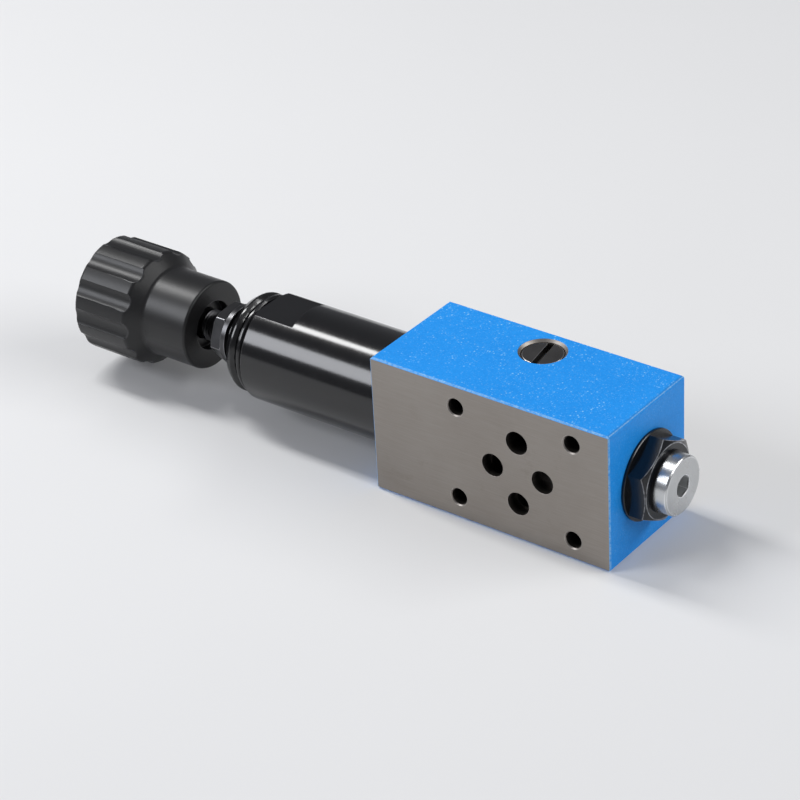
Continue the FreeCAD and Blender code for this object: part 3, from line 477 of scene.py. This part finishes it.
def hole_shade_depth(finish):
    """How much painted shade a point gets: 0 on the outer faces, 1 from some 2 mm behind them.
    """
    x, y, z = finish.axes()
    behind_rear = (y - BLOCK_LOW.y).ramp(0.4 * MM, 2.5 * MM)
    behind_front = (0.0 - y).ramp(1.4 * MM, 2.5 * MM)
    below_top = (BLOCK_HIGH.z - z).ramp(1.0 * MM, 2.0 * MM)
    return behind_rear * behind_front * below_top


def iron_colour(finish, smear, lines):
    iron = finish.blend(smear, IRON_DARK, IRON_LIGHT)
    iron = finish.blend(lines.ramp(0.35, 0.72) * 0.18, iron, LINE)
    stains = finish.noise(95.0, 5.0, 0.7).ramp(0.60, 0.78)
    iron = finish.blend(stains * 0.30, iron, STAIN)
    # Painted shade darkens the iron inside the holes.
    iron = finish.blend(hole_shade_depth(finish) * 0.82, iron, HOLE_SHADE)
    # The rounded rims are painted lighter, as wear and as a painted highlight.
    return finish.blend(finish.edge() * 0.6, iron, RUBBED_AND_HIGHLIGHT)


print("iron from", IRON_DARK, "to", IRON_LIGHT)

# %% [markdown]
# ## The block
#
# The two finishes meet in one shader: the paint is no metal and has a thin clear coat,
# the iron is metal and rougher where it is smeared. Only edges that lie on the outside of
# the block are rounded, because the drillings cross inside it, and a radius on those
# crossings would cost faces that nobody sees.

# %% Enamel on iron
VECTOR_FIRST, VECTOR_SECOND, VECTOR_RESULT = 4, 5, 1
ON_FACE = 0.05 * MM


def enamel_and_iron():
    finish = Finish("enamel_and_ground_iron", Coat_Roughness=0.15, Specular_IOR_Level=0.16)
    painted = paint_mask(finish)
    bare = 1.0 - painted
    smear = finish.noise(38.0, 4.0, 0.6)
    lines = finish.noise(1.0, 3.0, 0.6, finish.stretched(90.0, 120.0, 4200.0))
    fine = finish.noise(1.0, 2.0, 0.5, finish.stretched(900.0, 900.0, 9000.0))
    ground = finish.bump(fine * 0.5 + lines * 0.5, 0.005 * MM)
    normal = finish.node("ShaderNodeMix", {"data_type": "VECTOR"},
                         {MIX_FACTOR: painted, VECTOR_FIRST: ground,
                          VECTOR_SECOND: enamel_skin(finish)}, VECTOR_RESULT)
    iron = iron_colour(finish, smear, lines)
    return finish.set(
        Base_Color=finish.blend(painted, iron, enamel_colour(finish)),
        Metallic=bare * (1.0 - finish.edge() * 0.3),
        Roughness=painted * 0.42 + bare * (0.38 + smear * 0.14),
        Coat_Weight=painted * 0.05,
        Normal=normal)


def on_outside(edge):
    """Both ends of the edge lie on the same flat face of the block."""
    def flush(axis, value):
        return all(abs(vert.co[axis] - value) < ON_FACE for vert in edge.verts)
    return any(flush(axis, corner[axis]) for axis in range(3)
               for corner in (BLOCK_LOW, BLOCK_HIGH))


FINISHES["valve_body"] = enamel_and_iron()
rounded("valve_body", 0.18, on_outside, clamp=True)

# %% [markdown]
# ## Turned, blackened and plated metal
#
# Rings left by a lathe follow the distance from its axis and the place along it, so they
# show as rings on a flat end and as fine lines on a cylinder. One function makes the bare
# metals, from copper to zinc, and can paint their rounded edges lighter, as wear and as a
# painted highlight. Blackened steel has a function of its own: it is a thin glossy coat,
# which reflects more than plastic does, and its edges are painted lighter, as rubbed
# through and as a painted highlight.

# %% Lathe rings and metals
VALVE_AXIS = (-20.0 * MM, 0.0)
SWING = 45.0
PART_ROUGHER = 0.30


def lathe_rings(finish, pitch, axis="X", centre=VALVE_AXIS):
    """A noise that is drawn out round an axis, with its pitch in millimetres."""
    x, y, z = finish.axes()
    along, side = (x, z) if axis == "X" else (z, x)
    radius = finish.from_axis(axis, centre)
    fine = 1.0 / (pitch * MM)
    rings = finish.vector(along * fine, radius * fine, side * SWING)
    return finish.noise(1.0, 2.0, 0.6, rings)


def turned_metal(name, low, high, roughness, spread, pitch=0.16, depth=0.0015, worn_and_highlight=None,
                 rough_part=None, **rings):
    finish = Finish(name, Metallic=1.0)
    lines = lathe_rings(finish, pitch, **rings)
    cloud = finish.noise(160.0, 3.0)
    colour = finish.blend(cloud * 0.6 + lines * 0.4, low, high)
    if worn_and_highlight:
        # The rounded edges are painted lighter, as wear and as a painted highlight.
        colour = finish.blend(finish.edge() * (0.4 + cloud * 0.6), colour, worn_and_highlight)
    rough = roughness + cloud * spread
    if rough_part:
        rough = rough + rough_part(finish) * PART_ROUGHER
    return finish.set(Base_Color=colour, Roughness=rough,
                      Normal=finish.bump(lines, depth * MM))


def black_coat(name, tone, roughness, IOR, worn_and_highlight, wear_and_highlight):
    """A thin glossy black coat over turned steel, painted brighter on the edges as rubbing and
    as a painted highlight.
    """
    finish = Finish(name, IOR=IOR)
    cloud = finish.noise(220.0, 3.0)
    scuffs = finish.noise(1.0, 4.0, 0.7, finish.stretched(900.0, 260.0, 260.0)).ramp(0.62, 0.8)
    dark = finish.blend(cloud, tone, tuple(value * 1.7 for value in tone))
    # The edges are painted brighter, as rubbing through and as a painted highlight.
    rubbed_and_highlight = finish.edge() * (0.15 + finish.noise(500.0, 3.0).ramp(0.35, 0.7)) * wear_and_highlight
    return finish.set(Base_Color=finish.blend(rubbed_and_highlight, dark, worn_and_highlight),
                      Roughness=roughness + cloud * 0.05 + scuffs * 0.12,
                      Normal=finish.bump(lathe_rings(finish, 0.35), 0.0012 * MM))


print("lathe rings run round the axis at", VALVE_AXIS)

# %% [markdown]
# ## The metals of this valve
#
# The sleeve and its cap carry a deep gloss, the end plug is blued, and its edges are painted
# brighter, as more wear and as a stronger painted highlight. The screw plug in its middle is
# bright zinc, but the wall of its socket is rough from the broach. The nut, the washer and
# the thread are dark with oil, the slotted plug shows the rings of its facing cut, and what
# nobody sees is plain bright steel.

# %% Metals
GAUGE_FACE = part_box("gauge_port_plug")[1].x - 0.03 * MM
SOCKET_RADIUS = 3.6 * MM
SLOT_AXIS = {"axis": "Z", "centre": PLUG_CENTRE}


def socket_wall(finish):
    """1 inside the screw plug's socket."""
    return (finish.from_axis("X", VALVE_AXIS) < SOCKET_RADIUS) * (finish.axes()[0] < GAUGE_FACE)


gloss = black_coat("black_gloss_coat", (0.003, 0.003, 0.0035), 0.13, 1.55,
                   (0.12, 0.12, 0.13), 0.25)
blued = black_coat("blued_black_steel", (0.004, 0.005, 0.007), 0.20, 1.48,
                   (0.42, 0.43, 0.46), 0.8)
bright_zinc = turned_metal("bright_zinc", (0.50, 0.51, 0.515), (0.66, 0.67, 0.675),
                           0.22, 0.10, pitch=0.22, depth=0.003, worn_and_highlight=(0.88, 0.89, 0.90),
                           rough_part=socket_wall)
dark_steel = turned_metal("dark_oiled_steel", (0.05, 0.05, 0.052), (0.115, 0.115, 0.12),
                          0.24, 0.12, worn_and_highlight=(0.34, 0.34, 0.35))
plug_steel = turned_metal("faced_plug_steel", (0.11, 0.105, 0.10), (0.23, 0.22, 0.21),
                          0.224, 0.112, pitch=0.3, depth=0.004, worn_and_highlight=(0.55, 0.54, 0.52),
                          **SLOT_AXIS)
inner_steel = turned_metal("inner_steel", (0.42, 0.42, 0.42), (0.6, 0.6, 0.6), 0.224, 0.112)
soft_copper = turned_metal("soft_copper", (0.45, 0.20, 0.12), (0.62, 0.32, 0.20),
                           0.32, 0.16, **SLOT_AXIS)
print("materials so far:", [made.name for made in bpy.data.materials])

# %% [markdown]
# ## The knob's plastic and the seals
#
# The knob is a satin black moulding with a fine grain, a little greyer on its rounded ridges,
# as rubbing by fingers and as a painted highlight. Rubber is duller still, with a bloom.

# %% Plastic and rubber
RIDGE_HIGHLIGHT_GREY = (0.07, 0.07, 0.074)
RUBBER_BLACK, RUBBER_BLOOM = (0.012, 0.012, 0.013), (0.03, 0.03, 0.03)


def moulded(name, tone, roughness, grain):
    finish = Finish(name, IOR=1.46)
    cloud = finish.noise(90.0, 4.0)
    dark = finish.blend(cloud, (tone, tone, tone * 1.06), (tone * 1.5, tone * 1.5, tone * 1.58))
    # The rounded ridges are painted greyer, as rubbing by fingers and as a painted highlight.
    polished_and_highlight = finish.edge() * finish.noise(260.0, 3.0).ramp(0.3, 0.7)
    return finish.set(Base_Color=finish.blend(polished_and_highlight * 0.6, dark, RIDGE_HIGHLIGHT_GREY),
                      Roughness=roughness + cloud * 0.08 - polished_and_highlight * 0.06,
                      Normal=finish.bump(finish.noise(1900.0, 2.0, 0.6), grain * MM))


def rubber(name):
    finish = Finish(name, IOR=1.45)
    bloom = finish.noise(300.0, 3.0)
    return finish.set(Base_Color=finish.blend(bloom, RUBBER_BLACK, RUBBER_BLOOM),
                      Roughness=0.5 + bloom * 0.2,
                      Normal=finish.bump(finish.noise(2500.0), 0.01 * MM))


knob_plastic = moulded("knob_plastic", 0.0075, 0.33, 0.016)
seal_rubber = rubber("seal_rubber")
print("plastic and rubber:", knob_plastic.material.name, seal_rubber.material.name)

# %% [markdown]
# ## A finish for every node
#
# Each node of the frame gets its finish here, also those that will be replaced, so that a
# stand-in can look up the finish of the piece whose place it takes.

# %% Give out the finishes
for finish, nodes in (
        (gloss, "spring_sleeve sleeve_cap"),
        (blued, "end_plug"),
        (bright_zinc, "gauge_port_plug"),
        (dark_steel, "main_spring adjusting_spindle lock_washer lock_nut knob_grub_screw "
                     "gauge_plug_seal"),
        (plug_steel, "slotted_plug"),
        (inner_steel, "control_spool spring_plate adjuster_piston"),
        (soft_copper, "slotted_plug_seal"),
        (knob_plastic, "knob"),
        (seal_rubber, "adjuster_seal sleeve_seal end_plug_seal port_seal_p port_seal_t "
                      "port_seal_a port_seal_b")):
    for node in nodes.split():
        FINISHES[node] = finish
for node, piece in frame["nodes"].items():
    piece.data.materials.clear()
    piece.data.materials.append(FINISHES[node].material)
print("finishes on", len(FINISHES), "nodes")

# %% [markdown]
# ## The turned pieces, the nut, the plugs and the knob
#
# Each keeps its form and gets its own radius: the knob's ridges are the softest, because
# plastic leaves its mould that way, and the small plugs the crispest. The end plug's thin
# collar has slopes of its own already, and the knob's grooves run out towards its end, so
# a radius there would only fold over itself: both places are left out.

# %% Round their edges
HEXAGON_START = BLOCK_HIGH.x + 1.05 * MM
KNOB_END_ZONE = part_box("knob")[0].x + 1.3 * MM


def beyond(place):
    """A test for edges that lie wholly on the +X side of a place."""
    return lambda edge: all(vert.co.x > place for vert in edge.verts)


rounded("spring_sleeve", 0.12)
rounded("sleeve_cap", 0.07)
rounded("lock_washer", 0.20)
rounded("lock_nut", 0.18)
rounded("end_plug", 0.18, beyond(HEXAGON_START))
rounded("gauge_port_plug", 0.14)
rounded("slotted_plug", 0.12)
rounded("knob", 0.32, beyond(KNOB_END_ZONE))

# %% [markdown]
# ## The spindle's thread
#
# A fine thread shows between the nut and the knob. It could be faked with rings, but a
# real thread climbs, and the eye sees it at the ends. Spinning a zigzag once round the
# axis while it moves on by one pitch gives the true helix: the end of each tooth meets
# the start of the next. A rod is spun in the same way, with no pitch.

# %% Spin a line round the valve's axis
AXIS_POINT = (0.0, -20.0 * MM, 0.0)
SPIN_STEPS = 64


def spun(maker, line, pitch=0.0):
    """Spin a line of (x, radius) points once round the valve's axis."""
    verts = [maker.verts.new((x, AXIS_POINT[1], radius)) for x, radius in line]
    edges = [maker.edges.new(pair) for pair in zip(verts, verts[1:])]
    bmesh.ops.spin(maker, geom=verts + edges, cent=AXIS_POINT, axis=(1, 0, 0),
                   dvec=(-pitch / SPIN_STEPS, 0, 0), angle=math.tau, steps=SPIN_STEPS,
                   use_merge=pitch == 0.0)


def rod(maker, near, far, radius, near_chamfer, far_chamfer):
    spun(maker, [(near, 0.0), (near, radius - near_chamfer), (near - near_chamfer, radius),
                 (far + far_chamfer, radius), (far, radius - far_chamfer), (far, 0.0)])


print("one turn has", SPIN_STEPS, "steps")

# %% [markdown]
# ## The spindle, piece by piece
#
# The spindle is a thin nose that pushes the piston, a plain length in the cap, the thread
# and a plain length in the knob. The plain lengths are rods, and the thread runs one turn
# into each of them, so no end of it shows. A tooth is written in parts of a pitch, and
# its root is flat.

# %% Threaded spindle
SPINDLE_LOW, SPINDLE_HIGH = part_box("adjusting_spindle")
NOSE_RADIUS, NOSE_LENGTH, NOSE_CHAMFER = 3.5 * MM, 4.8 * MM, 0.3 * MM
SHOULDER_CHAMFER, END_CHAMFER, HIDDEN_CHAMFER = 0.8 * MM, 1.0 * MM, 0.01 * MM
OVERLAP = 0.1 * MM
CREST, ROOT, PITCH = 5.0 * MM, 4.42 * MM, 1.0 * MM
THREAD_START, THREAD_TURNS = -116.5 * MM, 15
TOOTH = ((0.0, CREST), (0.1, CREST), (0.5, ROOT), (0.6, ROOT))
SPINDLE_CREASE = math.radians(30.0)

maker = bmesh.new()
shoulder = SPINDLE_HIGH.x - NOSE_LENGTH
last_turn = THREAD_START - (THREAD_TURNS - 1) * PITCH
rod(maker, SPINDLE_HIGH.x, shoulder - OVERLAP, NOSE_RADIUS, NOSE_CHAMFER, HIDDEN_CHAMFER)
rod(maker, shoulder, THREAD_START - PITCH, CREST, SHOULDER_CHAMFER, HIDDEN_CHAMFER)
rod(maker, last_turn, SPINDLE_LOW.x, CREST, HIDDEN_CHAMFER, END_CHAMFER)
zigzag = [(THREAD_START - (turn + part) * PITCH, radius)
          for turn in range(THREAD_TURNS) for part, radius in TOOTH]
zigzag.append((last_turn - PITCH, CREST))
spun(maker, zigzag, PITCH)
bmesh.ops.remove_doubles(maker, verts=maker.verts, dist=WELD)
open_edges = [edge for edge in maker.edges if len(edge.link_faces) == 1]
bmesh.ops.holes_fill(maker, edges=open_edges, sides=0)
finish_mesh(maker, SPINDLE_CREASE)
stand_in(new_object("threaded_spindle", maker), "adjusting_spindle")
print("thread of", THREAD_TURNS, "turns, open edges closed:", len(open_edges))

# %% [markdown]
# ## The spring
#
# Inside the sleeve the spring sits between a plate, which moves with the spool, and the
# adjuster's piston. The coil is one round wire section, spun eight and a half times round
# the axis while it moves on by the coil's pitch, and it is cut in the middle into two
# halves. The same cut grinds the two ends of the coil flat.

# %% Wind a part of the coil
SPRING_LOW, SPRING_HIGH = -84.0 * MM, -34.3 * MM
SPRING_TURNS, WIRE_RADIUS, COIL_RADIUS = 8.5, 1.6 * MM, 8.0 * MM
STEPS_A_TURN, WIRE_SIDES = 36, 14
SPRING_CREASE = math.radians(40.0)


def coil_between(low, high):
    """The part of the coil between two planes, cut flat and closed."""
    maker = bmesh.new()
    section = bmesh.ops.create_circle(
        maker, cap_ends=True, segments=WIRE_SIDES, radius=WIRE_RADIUS,
        matrix=Matrix.Translation((SPRING_LOW, AXIS_POINT[1], COIL_RADIUS)) @
        Matrix.Rotation(math.pi / 2, 4, "X"))
    pitch = (SPRING_HIGH - SPRING_LOW) / SPRING_TURNS
    bmesh.ops.spin(maker, geom=section["verts"] + maker.edges[:] + maker.faces[:],
                   cent=AXIS_POINT, axis=(1, 0, 0), dvec=(pitch / STEPS_A_TURN, 0, 0),
                   angle=math.tau * SPRING_TURNS, steps=int(SPRING_TURNS * STEPS_A_TURN),
                   use_merge=False)
    bmesh.ops.remove_doubles(maker, verts=maker.verts, dist=WELD)
    for place, side in ((low, -1.0), (high, 1.0)):
        bmesh.ops.bisect_plane(maker, geom=maker.verts[:] + maker.edges[:] + maker.faces[:],
                               plane_co=(place, 0, 0), plane_no=(side, 0, 0),
                               clear_outer=True)
        rim = [edge for edge in maker.edges if len(edge.link_faces) == 1]
        bmesh.ops.holes_fill(maker, edges=rim, sides=0)
    finish_mesh(maker, SPRING_CREASE)
    return maker


print("coil of", SPRING_TURNS, "turns from", SPRING_LOW / MM, "to", SPRING_HIGH / MM, "mm")

# %% [markdown]
# ## Two halves of the coil
#
# Each half becomes an object of its own, takes the spring's finish in the place of the
# frame's spring, and has its place baked into its points.

# %% Spring in two halves
low_end, middle, high_end = [(x, AXIS_POINT[1], 0.0) for x in (
    SPRING_LOW, (SPRING_LOW + SPRING_HIGH) / 2, SPRING_HIGH)]
adjuster_half = new_object("spring_adjuster_half", coil_between(low_end[0], middle[0]))
spool_half = new_object("spring_spool_half", coil_between(middle[0], high_end[0]))
for half in (adjuster_half, spool_half):
    stand_in(half, "main_spring", rides=False)
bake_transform(adjuster_half)
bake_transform(spool_half)
print("spring halves:", [len(half.data.polygons) for half in (adjuster_half, spool_half)])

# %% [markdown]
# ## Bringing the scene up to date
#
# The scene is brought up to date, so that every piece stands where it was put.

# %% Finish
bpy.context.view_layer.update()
